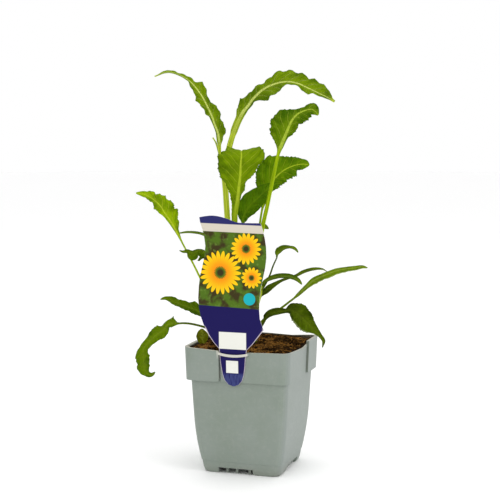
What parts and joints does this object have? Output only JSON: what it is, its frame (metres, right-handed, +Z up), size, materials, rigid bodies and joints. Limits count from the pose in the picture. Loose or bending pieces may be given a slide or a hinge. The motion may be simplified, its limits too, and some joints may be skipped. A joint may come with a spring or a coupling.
{
  "type": "potted coneflower plant",
  "caption": "Young coneflower plant in leaf, with long-stalked toothed leaves and two shoots, in a square nursery pot with soil and a printed plant label.",
  "frame": {"origin": "on the ground under the middle of the pot, which is also the middle of the whole plant's box", "axes": "+Z up, -Y towards the side that carries the label, +X to the right of someone who faces the label"},
  "size_m": [0.2182, 0.1387, 0.4046],
  "materials": {
    "pot_plastic": "satin",
    "soil": "matte",
    "label": "satin",
    "leaf": "satin"
  },
  "bodies": {
    "root": {"pot": "pot_plastic", "soil": "soil", "plant_label": "label", "leaf_broad_front": "leaf", "leaf_broad_back": "leaf", "leaf_oval": "leaf", "leaf_upright_right": "leaf", "leaf_high_left": "leaf", "leaf_thread": "leaf", "leaf_folded": "leaf", "leaf_low_left": "leaf", "leaf_drooping": "leaf", "leaf_round": "leaf", "leaf_long_right": "leaf", "leaf_twisted_right": "leaf", "leaf_young": "leaf", "shoot_tall": "leaf", "shoot_side": "leaf"}
  },
  "joints": []
}
